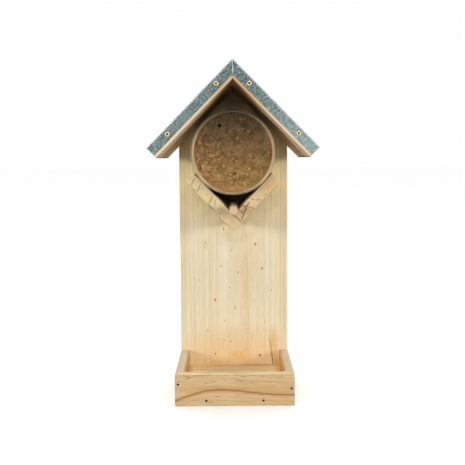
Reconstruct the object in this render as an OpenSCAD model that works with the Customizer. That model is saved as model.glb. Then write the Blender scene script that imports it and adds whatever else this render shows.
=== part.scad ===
// Bird feeder for a jar of bird food: a board with a gabled, zinc covered roof,
// a V-shaped cradle that holds a jar on its side, a perch and a seed tray.
// Millimetres. +Z is up, the jar opens towards -Y, and left and right are as seen from the front.
// Inside the design, y = 0 is the front face of the back board and z = 0 is the underside.

/* [Back board] */
// Width of the board
board_w = 115; // [100:1:138]
// Thickness of the board
board_t = 12; // [11:0.5:18]
// Height of the gable's peak above the underside
gable_z = 309.5; // [260:0.5:370]

/* [Roof] */
// Slope of each side of the roof, in degrees
roof_pitch = 45.5; // [43:0.5:49]
// Thickness of the roof boards
roof_t = 12; // [11:0.5:18]
// Length of a roof board's underside, from the ridge down to the eave
roof_slope = 99.5; // [92:0.5:120]
// Distance from the front of the board to the front of the roof
roof_front = 124; // [112:1:155]
// Thickness of the zinc sheet
zinc_t = 0.5; // [0.4:0.1:0.8]
// Width of the sheet's fold over the front and back ends of the roof boards
end_fold = 10; // [8:0.5:10.5]
// Width of the sheet's fold over the eaves
eave_fold = 13; // [8:0.5:16]

/* [Cradle] */
// Slope of each arm of the cradle, in degrees
cradle_pitch = 46.5; // [43:0.5:49]
// Thickness of the two cradle boards
cradle_t = 11; // [10:0.5:15]
// Length of the inside of each arm, from the corner to its top end
cradle_arm = 54.5; // [50:0.5:60]
// Distance that the cradle stands out from the board
cradle_depth = 88; // [70:1:100]

/* [Perch] */
// Diameter of the dowel
perch_d = 8; // [6:0.5:9]
// Distance from the front of the board to the tip of the perch
perch_reach = 118; // [105:1:145]
// Depth of the dowel's socket in the board
perch_socket = 6; // [4:0.5:8]

/* [Tray] */
// Height of the tray's walls
tray_h = 31; // [26:1:45]
// Distance from the front of the board to the front of the tray
tray_depth = 97; // [80:1:125]
// Thickness of the tray's walls
tray_wall_t = 9; // [8:0.5:14]
// Thickness of the tray's floor
tray_floor_t = 14; // [9:0.5:18]

/* [Jar] */
// Diameter of the jar's body
jar_body_d = 81.4; // [75:0.1:86]
// Diameter of the jar's rim
jar_rim_d = 81; // [70:0.1:82]
// Length of the jar
jar_len = 94.5; // [85:0.5:105]
// Thickness of the glass in the jar's side
jar_wall = 2.4; // [2:0.1:3.5]
// Thickness of the glass at the rim
jar_rim_wall = 3.3; // [2.5:0.1:4]
// Depth of the food's surface below the rim
fill_recess = 3.4; // [2:0.1:3.9]

/* [Fasteners] */
// Diameter of the brad nails
brad_d = 1.6; // [1.2:0.1:2]
// Diameter of the round nails that hold the roof boards
nail_d = 2.2; // [1.8:0.1:2.8]
// Diameter of the wood screws behind the cradle
screw_d = 3; // [2.5:0.1:3.5]
// Diameter of the brass screws in the zinc
zinc_screw_d = 2.2; // [1.8:0.1:2.6]

/* [Hanger] */
// Width of the keyhole plate
hanger_w = 20; // [16:1:24]
// Height of the keyhole plate
hanger_h = 36; // [32:1:44]
// Thickness of the keyhole plate
hanger_t = 1.5; // [1:0.1:2]
// Diameter of the keyhole's round entry
keyhole_d = 9; // [8:0.5:10]
// Width of the keyhole's slot
keyhole_slot = 4.5; // [4:0.1:5.5]

/* [Hidden] */
$fn = 64;

// Clearances
fit = 0.05;            // round a nail, screw or dowel in its hole
jar_seat_gap = 0.3;    // between the jar and the cradle, and between its base and the board
jar_roof_gap = 6;    // between the jar and the underside of the roof
eps = 0.5;             // how far a cut runs past a face

// Colours
pine = [0.87, 0.76, 0.58];
pine_dark = [0.80, 0.66, 0.46];
zinc = [0.62, 0.66, 0.68];
brass = [0.83, 0.68, 0.36];
steel = [0.72, 0.73, 0.75];
glass = [0.80, 0.86, 0.86, 0.45];
nut_paste = [0.58, 0.40, 0.20];

// Roof: outer ridge of the wood and of the zinc
roof_run = cos(roof_pitch);
roof_drop = sin(roof_pitch);
wood_ridge_z = gable_z + roof_t / roof_run;
zinc_ridge_z = gable_z + (roof_t + zinc_t) / roof_run;
// Slope length of the outer wood face, and of the outer zinc face
wood_slope = roof_slope + roof_t * tan(roof_pitch);
zinc_slope = roof_slope + (roof_t + zinc_t) * tan(roof_pitch) + zinc_t;

// Jar: its body, and the neck ring, thread and rim, which may stand out further than the body
jar_r = jar_body_d / 2;
jar_ring_out = 0.2;
jar_widest_r = max(jar_r, jar_rim_d / 2 + jar_ring_out);

// The jar's axis is set by the roof above it, and the cradle and the perch by the jar
jar_z = gable_z - (jar_widest_r + jar_roof_gap) / roof_run;
cradle_z = jar_z - (jar_widest_r + jar_seat_gap) / cos(cradle_pitch);
perch_z = cradle_z + (perch_d / 2 + fit) / cos(cradle_pitch);

// Cradle joint: how far the long board runs on under the short board's end, and how far
// that end's outer corner runs on, so that it lies flat on the long board at any slope
cradle_under = cradle_t / sin(2 * cradle_pitch);
cradle_butt = cradle_t / tan(2 * cradle_pitch);

// Brads: head and how deep they are driven below the surface
brad_head_d = brad_d + 0.8;
brad_head_t = 0.8;
brad_sink = 1;
brad_len = 25;
// Round nails
nail_head_d = 2 * nail_d;
nail_head_t = 1;
roof_nail_len = roof_t + 18;
roof_nail_at = [35, 65];
ridge_nail_len = 28;
ridge_nail_y = [-25, 20 - roof_front];
// Wood screws
screw_head_d = 2 * screw_d;
screw_head_t = 1.8;
cradle_screw_len = board_t + 18;
cradle_screw_at = [12, cradle_arm - 12];
cradle_nail_y = [board_t - cradle_screw_len - 10, 16 - cradle_depth];
// Brass screws in the zinc: distance from the ridge along the slope
zinc_screw_at = [26.5, zinc_slope - 22.5];
zinc_screw_head_d = 2 * zinc_screw_d;
zinc_screw_head_h = 1.3;
zinc_screw_len = 14;
zinc_screw_inset = end_fold / 2;
// Tray nails: those into the side walls, and those into the floor
tray_side_nail_x = board_w / 2 - 3;
tray_side_nail_z = [21, 16.5];
tray_floor_nail_x = 27.5;
tray_floor_nail_z = 5;
// Hanger
hanger_z = gable_z - board_w / 2 + 22;
hanger_corner_r = 4;
hanger_screw_d = 3;
hanger_screw_len = 9;
hanger_screw_at = hanger_h / 2 - 4.5;
keyhole_travel = 10;
keyhole_z = hanger_z - 5;
pocket_depth = 6;
pocket_d = keyhole_d + 1;

// The design's middle in y, so that the finished part is centred over its base
y_front = -roof_front - zinc_screw_head_h;
y_mid = (y_front + board_t) / 2;

// Jar profile, base at 0: heel, shoulder, neck ring, thread and rim
heel_r = 4;
jar_base_t = 5;
neck_r = jar_rim_d / 2 - 1.1;
shoulder_h = jar_len - 20;
neck_h = jar_len - 14;
ring_h = jar_len - 11.5;
rim_round = 0.8;
thread_h = jar_len - 6;

module centred() {
    translate([0, -y_mid, 0]) children();
}

// Puts a shape drawn along +Z so that it runs from (x, y, z) along +Y
module along_y(x, y, z) {
    translate([x, y, z]) rotate([-90, 0, 0]) children();
}

// Puts a shape drawn along +Z so that it runs from (x, y, z) along -Y
module against_y(x, y, z) {
    translate([x, y, z]) rotate([90, 0, 0]) children();
}

// Extrudes an outline drawn in x and z from y0 back to y1
module slab(y0, y1) {
    translate([0, y1, 0]) rotate([90, 0, 0]) linear_extrude(y1 - y0) children();
}

// A nail or brad whose head's top is at the origin, driven along -Z
module nail(d, head_d, head_t, len) {
    translate([0, 0, -head_t]) cylinder(d = head_d, h = head_t);
    translate([0, 0, -len]) cylinder(d = d, h = len);
}

// The hole for that nail, open above its head by sink
module nail_hole(d, head_d, head_t, len, sink) {
    translate([0, 0, -head_t - fit]) cylinder(d = head_d + 2 * fit, h = head_t + sink + eps);
    translate([0, 0, -len - fit]) cylinder(d = d + 2 * fit, h = len);
}

module brad() {
    nail(brad_d, brad_head_d, brad_head_t, brad_len);
}

module brad_hole() {
    nail_hole(brad_d, brad_head_d, brad_head_t, brad_len, brad_sink);
}

// A countersunk wood screw with its head's top at the origin, driven along -Z
module wood_screw(d, len, play = 0) {
    head_d = 2 * d + 2 * play;
    head_t = 0.6 * d;
    translate([0, 0, -head_t]) cylinder(d1 = d + 2 * play, d2 = head_d, h = head_t);
    translate([0, 0, -len - play]) cylinder(d = d + 2 * play, h = len + play);
    if (play > 0) cylinder(d = head_d, h = eps);
}

module cross_recess(w, depth) {
    for (turn = [0, 90])
        rotate([0, 0, turn]) translate([-w / 2, -w / 8, -depth]) cube([w, w / 4, depth + eps]);
}

// Places along the roof, outer wood face: s from the ridge, drop below the face, on one side
module on_slope(side, s) {
    translate([side * s * roof_run, 0, wood_ridge_z - s * roof_drop])
        rotate([0, side * roof_pitch, 0]) children();
}

module roof_nail_places() {
    for (side = [-1, 1], s = roof_nail_at)
        on_slope(side, s + roof_t * tan(roof_pitch)) translate([0, board_t / 2, 0]) children();
}

module ridge_nail_places() {
    for (y = ridge_nail_y)
        on_slope(1, roof_t / 2 / sin(2 * roof_pitch)) translate([0, y, 0]) children();
}

module zinc_screw_places() {
    for (side = [-1, 1], s = zinc_screw_at)
        translate([
            side * (s * roof_run - zinc_screw_inset * roof_drop),
            -roof_front,
            zinc_ridge_z - s * roof_drop - zinc_screw_inset * roof_run
        ]) rotate([90, 0, 0]) children();
}

// Places on the cradle's arms: a point at distance s from the corner, in the middle of the board
module cradle_screw_places() {
    for (side = [-1, 1], s = cradle_screw_at)
        along_y(
            side * (s * cos(cradle_pitch) + cradle_t / 2 * sin(cradle_pitch)),
            board_t,
            cradle_z + s * sin(cradle_pitch) - cradle_t / 2 * cos(cradle_pitch)
        ) children();
}

// Places on the long board's outer face, over the middle of the short board's end
module cradle_nail_places() {
    for (y = cradle_nail_y)
        translate([0, y, cradle_z]) rotate([0, cradle_pitch + 180, 0])
            translate([-cradle_under / 2, 0, cradle_t - brad_sink]) children();
}

module tray_front_nail_places() {
    for (side = [-1, 1])
        against_y(
            side * tray_side_nail_x, -tray_depth + brad_sink, tray_side_nail_z[(side + 1) / 2]
        ) children();
    for (side = [-1, 1])
        against_y(side * tray_floor_nail_x, -tray_depth + brad_sink, tray_floor_nail_z) children();
}

module tray_back_nail_places() {
    for (side = [-1, 1]) {
        along_y(side * (board_w - tray_wall_t) / 2, board_t - brad_sink, tray_h - 12) children();
        along_y(side * tray_floor_nail_x, board_t - brad_sink, tray_floor_t / 2) children();
    }
}

module hanger_screw_places() {
    for (up = [-1, 1])
        along_y(0, board_t, hanger_z + up * hanger_screw_at) children();
}

module keyhole(entry_d, slot_w, depth) {
    along_y(0, board_t - depth, keyhole_z) cylinder(d = entry_d, h = depth + eps);
    along_y(0, board_t - depth, keyhole_z + keyhole_travel) cylinder(d = slot_w, h = depth + eps);
    translate([-slot_w / 2, board_t - depth, keyhole_z])
        cube([slot_w, depth + eps, keyhole_travel]);
}

module hanger_outline() {
    for (x = [-1, 1], z = [-1, 1])
        translate([x * (hanger_w / 2 - hanger_corner_r), z * (hanger_h / 2 - hanger_corner_r)])
            circle(hanger_corner_r);
    square([hanger_w, hanger_h - 2 * hanger_corner_r], center = true);
    square([hanger_w - 2 * hanger_corner_r, hanger_h], center = true);
}

module hanger_blank(t, play = 0) {
    intersection() {
        translate([0, 0, hanger_z]) slab(board_t - t, board_t + play) hanger_outline();
        translate([-board_w, 0, 0]) cube([2 * board_w, board_t + play, gable_z]);
    }
}

module back_board() {
    shoulder_z = gable_z - board_w / 2 * tan(roof_pitch);
    color(pine) difference() {
        slab(0, board_t) polygon([
            [-board_w / 2, 0], [board_w / 2, 0], [board_w / 2, shoulder_z],
            [0, gable_z], [-board_w / 2, shoulder_z]
        ]);
        roof_nail_places() nail_hole(nail_d, nail_head_d, nail_head_t, roof_nail_len, 0);
        cradle_screw_places() wood_screw(screw_d, cradle_screw_len, fit);
        tray_back_nail_places() brad_hole();
        against_y(0, perch_socket, perch_z) cylinder(d = perch_d + 2 * fit, h = perch_socket + eps);
        hanger_blank(hanger_t, eps);
        keyhole(pocket_d, pocket_d, hanger_t + pocket_depth);
        hanger_screw_places() wood_screw(hanger_screw_d, hanger_screw_len, fit);
    }
}

module roof_board_outline(side) {
    polygon([
        [0, gable_z],
        [side * roof_slope * roof_run, gable_z - roof_slope * roof_drop],
        [side * wood_slope * roof_run, wood_ridge_z - wood_slope * roof_drop],
        [0, wood_ridge_z]
    ]);
}

module roof_board(side) {
    color(pine) difference() {
        slab(-roof_front + zinc_t, board_t - zinc_t) roof_board_outline(side);
        roof_nail_places() nail_hole(nail_d, nail_head_d, nail_head_t, roof_nail_len, 0);
        ridge_nail_places() nail_hole(nail_d, nail_head_d, nail_head_t, ridge_nail_len, 0);
        zinc_screw_places()
            translate([0, 0, -zinc_screw_len - fit]) cylinder(d = zinc_screw_d + 2 * fit, h = zinc_screw_len);
    }
}

// One side of the sheet's section: the slope and the fold over the eave
module zinc_side_outline(side) {
    eave = [wood_slope * roof_run, wood_ridge_z - wood_slope * roof_drop];
    inward = [-roof_drop, -roof_run];
    along = [roof_run, -roof_drop];
    hem = eave + inward * (eave_fold - zinc_t);
    outer = [
        [0, wood_ridge_z], eave, hem, hem + along * zinc_t,
        eave + (along - inward) * zinc_t, [0, zinc_ridge_z]
    ];
    polygon([for (p = outer) [side * p[0], p[1]]]);
}

// One side of the fold over the ends of the roof boards, mitred at the ridge
module zinc_fold_outline(side) {
    inner_z = zinc_ridge_z - end_fold / roof_run;
    inner_slope = zinc_slope - end_fold * tan(roof_pitch);
    outer = [
        [0, zinc_ridge_z],
        [zinc_slope * roof_run, zinc_ridge_z - zinc_slope * roof_drop],
        [inner_slope * roof_run, inner_z - inner_slope * roof_drop],
        [0, inner_z]
    ];
    polygon([for (p = outer) [side * p[0], p[1]]]);
}

module zinc_roof_cover() {
    color(zinc) difference() {
        union() {
            slab(-roof_front, board_t) {
                zinc_side_outline(-1);
                zinc_side_outline(1);
            }
            for (y = [-roof_front, board_t - zinc_t]) slab(y, y + zinc_t) {
                zinc_fold_outline(-1);
                zinc_fold_outline(1);
            }
        }
        zinc_screw_places()
            translate([0, 0, -zinc_t - eps]) cylinder(d = zinc_screw_d + 2 * fit, h = zinc_t + 2 * eps);
    }
}

// The arm from the corner up to one side. The long board runs on under the short one's end.
module cradle_outline(side, long) {
    along = [cos(cradle_pitch), sin(cradle_pitch)];
    outward = [sin(cradle_pitch), -cos(cradle_pitch)];
    inner_end = long ? -cradle_under : 0;
    outer_end = long ? -cradle_under : cradle_butt;
    points = [
        along * inner_end,
        along * cradle_arm,
        along * cradle_arm + outward * cradle_t,
        along * outer_end + outward * cradle_t
    ];
    translate([0, cradle_z]) polygon([for (p = points) [side * p[0], p[1]]]);
}

module cradle_board(side, long) {
    color(pine_dark) difference() {
        slab(-cradle_depth, 0) cradle_outline(side, long);
        cradle_screw_places() wood_screw(screw_d, cradle_screw_len, fit);
        cradle_nail_places() brad_hole();
    }
}

module perch_dowel() {
    chamfer = 0.6;
    color(pine_dark) against_y(0, perch_socket - fit, perch_z) {
        cylinder(d = perch_d, h = perch_reach + perch_socket - fit - chamfer);
        translate([0, 0, perch_reach + perch_socket - fit - chamfer])
            cylinder(d1 = perch_d, d2 = perch_d - 2 * chamfer, h = chamfer);
    }
}

module tray_floor() {
    w = board_w - 2 * tray_wall_t;
    color(pine) difference() {
        translate([-w / 2, -tray_depth + tray_wall_t, 0])
            cube([w, tray_depth - tray_wall_t, tray_floor_t]);
        tray_front_nail_places() brad_hole();
        tray_back_nail_places() brad_hole();
    }
}

module tray_front() {
    color(pine) difference() {
        translate([-board_w / 2, -tray_depth, 0]) cube([board_w, tray_wall_t, tray_h]);
        tray_front_nail_places() brad_hole();
    }
}

module tray_side(side) {
    color(pine) difference() {
        translate([side * (board_w - tray_wall_t) / 2 - tray_wall_t / 2, -tray_depth + tray_wall_t, 0])
            cube([tray_wall_t, tray_depth - tray_wall_t, tray_h]);
        tray_front_nail_places() brad_hole();
        tray_back_nail_places() brad_hole();
    }
}

// A round-head screw with its head on the origin's plane, driven along -Z
module round_head_screw(d, head_d, head_h, len) {
    ball_r = (pow(head_d / 2, 2) + head_h * head_h) / (2 * head_h);
    difference() {
        intersection() {
            translate([0, 0, head_h - ball_r]) sphere(r = ball_r);
            cylinder(d = head_d, h = head_h);
        }
        translate([0, 0, head_h]) cross_recess(0.55 * head_d, 0.7 * head_h);
    }
    translate([0, 0, -len]) cylinder(d = d, h = len);
}

module roof_cover_screws() {
    color(brass) zinc_screw_places()
        round_head_screw(zinc_screw_d, zinc_screw_head_d, zinc_screw_head_h, zinc_screw_len);
}

module roof_board_nails() {
    color(steel) roof_nail_places() nail(nail_d, nail_head_d, nail_head_t, roof_nail_len);
}

module ridge_nails() {
    color(steel) ridge_nail_places() nail(nail_d, nail_head_d, nail_head_t, ridge_nail_len);
}

module cradle_corner_nails() {
    color(steel) cradle_nail_places() brad();
}

module cradle_screws() {
    color(steel) cradle_screw_places() difference() {
        wood_screw(screw_d, cradle_screw_len);
        cross_recess(0.5 * screw_head_d, 0.6 * screw_head_t);
    }
}

module tray_front_nails() {
    color(steel) tray_front_nail_places() brad();
}

module tray_back_nails() {
    color(steel) tray_back_nail_places() brad();
}

module hanger_plate() {
    color(steel) difference() {
        hanger_blank(hanger_t);
        keyhole(keyhole_d, keyhole_slot, hanger_t + eps);
        hanger_screw_places() wood_screw(hanger_screw_d, hanger_screw_len, fit);
    }
}

module hanger_screws() {
    color(steel) hanger_screw_places() difference() {
        wood_screw(hanger_screw_d, hanger_screw_len);
        cross_recess(hanger_screw_d, hanger_t / 2);
    }
}

// Points of a quarter arc about (cx, cy) from angle a0 to a1
function arc(cx, cy, r, a0, a1, n = 8) =
    [for (i = [0 : n]) let (a = a0 + (a1 - a0) * i / n) [cx + r * cos(a), cy + r * sin(a)]];

// The jar lies with its base against the board and its axis along -Y
module jar_place() {
    against_y(0, -jar_seat_gap, jar_z) children();
}

// Inside of the jar, up to a height above its base
module jar_inside(top, play = 0) {
    inner_r = jar_r - jar_wall - play;
    mouth_r = jar_rim_d / 2 - jar_rim_wall - play;
    rotate_extrude() polygon(concat(
        [[0, jar_base_t + play]],
        arc(inner_r - heel_r, jar_base_t + play + heel_r, heel_r, -90, 0),
        [[inner_r, shoulder_h - 2], [mouth_r, neck_h - 1], [mouth_r, top], [0, top]]
    ));
}

module jar_glass() {
    rim_r = jar_rim_d / 2;
    color(glass) jar_place() difference() {
        union() {
            rotate_extrude() polygon(concat(
                [[0, 0]],
                arc(jar_r - heel_r, heel_r, heel_r, -90, 0),
                [
                    [jar_r, shoulder_h], [jar_r - 0.6, shoulder_h + 2.5], [neck_r, neck_h],
                    [neck_r, jar_len - rim_round - 3], [rim_r, jar_len - rim_round - 2.6]
                ],
                arc(rim_r - rim_round, jar_len - rim_round, rim_round, 0, 90),
                [[0, jar_len]]
            ));
            translate([0, 0, ring_h]) cylinder(r = rim_r + jar_ring_out, h = 2);
            translate([0, 0, thread_h]) cylinder(r = rim_r + jar_ring_out / 2, h = 1.2);
        }
        jar_inside(jar_len + eps);
    }
}

module peanut_butter() {
    color(nut_paste) jar_place() jar_inside(jar_len - fill_recess, 2 * fit);
}

centred() back_board();
centred() roof_board(-1);  // roof_board_left
centred() roof_board(1);  // roof_board_right
centred() zinc_roof_cover();
centred() cradle_board(-1, true);  // cradle_board_left
centred() cradle_board(1, false);  // cradle_board_right
centred() perch_dowel();
centred() tray_floor();
centred() tray_front();
centred() tray_side(-1);  // tray_side_left
centred() tray_side(1);  // tray_side_right
centred() roof_cover_screws();
centred() roof_board_nails();
centred() ridge_nails();
centred() cradle_corner_nails();
centred() cradle_screws();
centred() tray_front_nails();
centred() tray_back_nails();
centred() hanger_plate();
centred() hanger_screws();
centred() jar_glass();
centred() peanut_butter();
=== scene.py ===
"""Looks of the jar feeder: pine boards, a folded zinc roof and a glass jar of crunchy peanut butter."""
import math
import random

import bmesh
import bpy
from mathutils import Euler, Matrix, Vector, noise


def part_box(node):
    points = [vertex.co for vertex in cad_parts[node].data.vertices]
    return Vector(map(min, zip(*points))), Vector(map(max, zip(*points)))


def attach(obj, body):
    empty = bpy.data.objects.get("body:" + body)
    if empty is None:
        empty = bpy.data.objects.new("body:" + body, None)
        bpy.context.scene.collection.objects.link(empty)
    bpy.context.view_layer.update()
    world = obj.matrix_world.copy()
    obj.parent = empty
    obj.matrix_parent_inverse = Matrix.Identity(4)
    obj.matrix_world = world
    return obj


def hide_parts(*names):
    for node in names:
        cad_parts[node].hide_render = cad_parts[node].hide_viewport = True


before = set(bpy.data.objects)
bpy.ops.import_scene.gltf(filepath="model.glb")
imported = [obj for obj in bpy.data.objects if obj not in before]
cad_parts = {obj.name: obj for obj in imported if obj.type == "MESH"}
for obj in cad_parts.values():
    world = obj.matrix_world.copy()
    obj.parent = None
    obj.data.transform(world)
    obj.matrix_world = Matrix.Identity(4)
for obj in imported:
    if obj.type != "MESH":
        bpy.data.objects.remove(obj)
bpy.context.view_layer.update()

MM = 0.001

# Where things are, from the frame
board_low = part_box("back_board")[0]
jar_low, jar_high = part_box("jar_glass")
roof_low, roof_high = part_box("zinc_roof_cover")
wood_low, wood_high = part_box("roof_board_right")
tray_low, tray_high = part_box("tray_front")
floor_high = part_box("tray_floor")[1]
perch_low, perch_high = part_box("perch_dowel")
arm_low, arm_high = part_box("cradle_board_right")
paste_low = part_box("peanut_butter")[0]

BOARD_FRONT = board_low.y
TRAY_FRONT = tray_low.y
JAR_AXIS_Z = (jar_low.z + jar_high.z) / 2
PERCH_AXIS_Z = (perch_low.z + perch_high.z) / 2

# Slopes that the boards were cut to, in degrees
ROOF_PITCH = 45.5
CRADLE_PITCH = 46.5
# Length of a cradle board up its slope, and the height of the corner where the two meet
CRADLE_ARM = 54.5 * MM
CRADLE_CORNER_Z = arm_high.z - CRADLE_ARM * math.sin(math.radians(CRADLE_PITCH))

# The jar in millimetres: outside of its side, and the bore that the food fills
JAR_SIDE = 40.7
JAR_BORE = 37.22


def srgb(red, green, blue):
    """A colour picked on a 0 to 255 scale, as the shader wants it."""
    def linear(v):
        v = v / 255
        return v / 12.92 if v <= 0.04045 else ((v + 0.055) / 1.055) ** 2.4
    return (linear(red), linear(green), linear(blue), 1.0)


# ---------------------------------------------------------------- shader building

def node(tree, kind, settings=None, **inputs):
    """A new shader node. Each input is a value or another node's output."""
    made = tree.nodes.new("ShaderNode" + kind)
    for name, value in (settings or {}).items():
        setattr(made, name, value)
    for name, value in inputs.items():
        feed(tree, made.inputs[name.replace("_", " ")], value)
    return made


def feed(tree, socket, value):
    if isinstance(value, bpy.types.NodeSocket):
        tree.links.new(value, socket)
    else:
        socket.default_value = value


def calc(tree, operation, *values, clamp=False):
    made = node(tree, "Math", {"operation": operation, "use_clamp": clamp})
    for socket, value in zip(made.inputs, values):
        feed(tree, socket, value)
    return made.outputs[0]


def times(tree, first, second, clamp=False):
    return calc(tree, "MULTIPLY", first, second, clamp=clamp)


def plus(tree, first, second):
    return calc(tree, "ADD", first, second)


def less(tree, first, second, clamp=False):
    """The first without the second."""
    return calc(tree, "SUBTRACT", first, second, clamp=clamp)


def size_of(tree, value):
    """The value without its sign."""
    return calc(tree, "ABSOLUTE", value)


def shaded_point(tree):
    """The shaded point, in metres."""
    return node(tree, "TexCoord").outputs["Object"]


def axes(tree, place):
    """The point's X, Y and Z."""
    return node(tree, "SeparateXYZ", Vector=place).outputs


def blend(tree, amount, first, second, mode="MIX"):
    """Two colours mixed by an amount from 0 to 1."""
    made = node(tree, "Mix", {"data_type": "RGBA", "blend_type": mode})
    feed(tree, made.inputs[0], amount)
    feed(tree, made.inputs[6], first)
    feed(tree, made.inputs[7], second)
    return made.outputs[2]


def ramp(tree, value, *stops):
    """A colour ramp through (place, colour) or (place, grey) stops."""
    made = node(tree, "ValToRGB", Fac=value)
    band = made.color_ramp
    while len(band.elements) < len(stops):
        band.elements.new(0.5)
    for element, (place, colour) in zip(band.elements, stops):
        element.position = place
        element.color = colour if isinstance(colour, tuple) else (colour, colour, colour, 1.0)
    return made.outputs[0]


def cloud(tree, where, scale, detail=2.0, roughness=0.5, distortion=0.0):
    """Soft noise, from about 0.3 to 0.7."""
    made = node(tree, "TexNoise", Vector=where, Scale=scale, Detail=detail,
                Roughness=roughness, Distortion=distortion)
    return made.outputs[0]


def stretched(tree, where, across, through, along):
    """The same place with each axis scaled, for grain that runs along a board."""
    return node(tree, "Mapping", Vector=where, Scale=(across, through, along)).outputs[0]


def new_material(name):
    made = bpy.data.materials.new(name)
    made.use_nodes = True
    shader = made.node_tree.nodes["Principled BSDF"]
    return made, made.node_tree, shader


def bump(tree, shader, height, distance, strength=1.0):
    """Relief of the given depth in metres."""
    relief = node(tree, "Bump", Height=height, Strength=strength, Distance=distance)
    feed(tree, shader.inputs["Normal"], relief.outputs[0])


# ---------------------------------------------------------------- pine

class Grain:
    """How a board was cut from its tree: where the board is and how it lies, where the tree's pith
    was beside it, and how wide its rings are. In a board's own axes X is across it, Y is through
    it and Z is along the tree. Millimetres, apart from the origin."""

    def __init__(self, origin, turn=(0, 0, 0), pith=(-20, 90), ring=3.2, wander=5.0):
        self.origin = origin
        self.turn = tuple(math.radians(a) for a in turn)
        self.pith = pith
        self.ring = ring
        self.wander = wander

    def trunk(self):
        return Euler(self.turn).to_matrix() @ Vector((0, 0, 1))


def board_place(tree, grain):
    """The shaded point in the board's own axes, in millimetres."""
    place = shaded_point(tree)
    return node(tree, "Mapping", {"vector_type": "TEXTURE"}, Vector=place, Location=grain.origin,
                Rotation=grain.turn, Scale=(MM, MM, MM)).outputs[0]


def spots(tree, place, marks, plane=(0, 2)):
    """How much of a mark lies here, from 0 to 1. Each is (across, along, half width, half length, depth)."""
    parts = axes(tree, place)
    across, along = (parts[i] for i in plane)
    ragged = cloud(tree, place, 0.9, detail=1.0)
    total = None
    for mark_across, mark_along, half_width, half_length, depth in marks:
        side = calc(tree, "DIVIDE", less(tree, across, mark_across), half_width)
        up = calc(tree, "DIVIDE", less(tree, along, mark_along), half_length)
        far = plus(tree, times(tree, side, side), times(tree, up, up))
        far = plus(tree, far, less(tree, ragged, 0.5))
        here = times(tree, less(tree, 1.0, far, clamp=True), depth)
        total = here if total is None else calc(tree, "MAXIMUM", total, here)
    return total


def near_face(tree, place, depth):
    """1 on the face where a board's own Y is 0, and 0 deeper in the board than this many millimetres."""
    parts = axes(tree, place)
    return calc(tree, "LESS_THAN", size_of(tree, parts[1]), depth)


def strokes(tree, place, marks, plane=(0, 2)):
    """How much of a straight crack or ring line lies here, from 0 to 1. Each is (from, to, half width,
    depth), with its ends in the plane."""
    parts = axes(tree, place)
    wobble = times(tree, less(tree, cloud(tree, place, 0.35, detail=3.0), 0.5), 1.6)
    flat = node(tree, "CombineXYZ", X=plus(tree, parts[plane[0]], wobble),
                Y=parts[plane[1]]).outputs[0]
    total = None
    for start, end, half_width, depth in marks:
        run = Vector((end[0] - start[0], end[1] - start[1], 0))
        length = run.length
        middle = ((start[0] + end[0]) / 2, (start[1] + end[1]) / 2, 0)
        local = node(tree, "Mapping", {"vector_type": "TEXTURE"}, Vector=flat, Location=middle,
                     Rotation=(0, 0, math.atan2(run.y, run.x)), Scale=(length / 2, half_width, 1)).outputs[0]
        sides = axes(tree, local)
        on_line = less(tree, 1.0, size_of(tree, sides[1]), clamp=True)
        ends = less(tree, 1.0, calc(tree, "POWER", size_of(tree, sides[0]), 4.0), clamp=True)
        here = times(tree, times(tree, on_line, ends), depth)
        total = here if total is None else calc(tree, "MAXIMUM", total, here)
    broken = ramp(tree, cloud(tree, place, 0.55, detail=2.0), (0.38, 0.45), (0.55, 1.0))
    return times(tree, total, broken)


def ring_lines(tree, place, grain, contrast, crest):
    """How dark the late wood is here: each ring is pale early wood that darkens into a thin line."""
    parts = axes(tree, place)
    drift = less(tree, cloud(tree, stretched(tree, place, 1, 1, 0.12), 0.028, detail=1.5), 0.5)
    if crest is None:
        across = less(tree, parts[0], grain.pith[0])
        through = less(tree, parts[1], grain.pith[1])
        radius = calc(tree, "SQRT", plus(tree, times(tree, across, across),
                                         times(tree, through, through)))
    else:
        radius = plus(tree, crest, 200)
    radius = plus(tree, radius, times(tree, drift, grain.wander * 2))
    turn = calc(tree, "DIVIDE", radius, grain.ring)
    through_ring = calc(tree, "FRACT", turn)
    late = ramp(tree, through_ring, (0.0, 0.0), (0.45, 0.12), (0.82, 0.75), (0.93, 1.0), (1.0, 0.0))
    strength = cloud(tree, node(tree, "CombineXYZ", X=calc(tree, "FLOOR", turn)).outputs[0], 3.7, detail=0.0)
    return times(tree, late, times(tree, strength, contrast * 2), clamp=True)


def cut_across(tree, grain):
    """1 where a face is cut across the tree, so that it shows end grain, and 0 elsewhere."""
    facing = node(tree, "VectorMath", {"operation": "DOT_PRODUCT"})
    feed(tree, facing.inputs[0], node(tree, "TexCoord").outputs["Normal"])
    feed(tree, facing.inputs[1], grain.trunk())
    return calc(tree, "GREATER_THAN", size_of(tree, facing.outputs["Value"]), 0.6)


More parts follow.
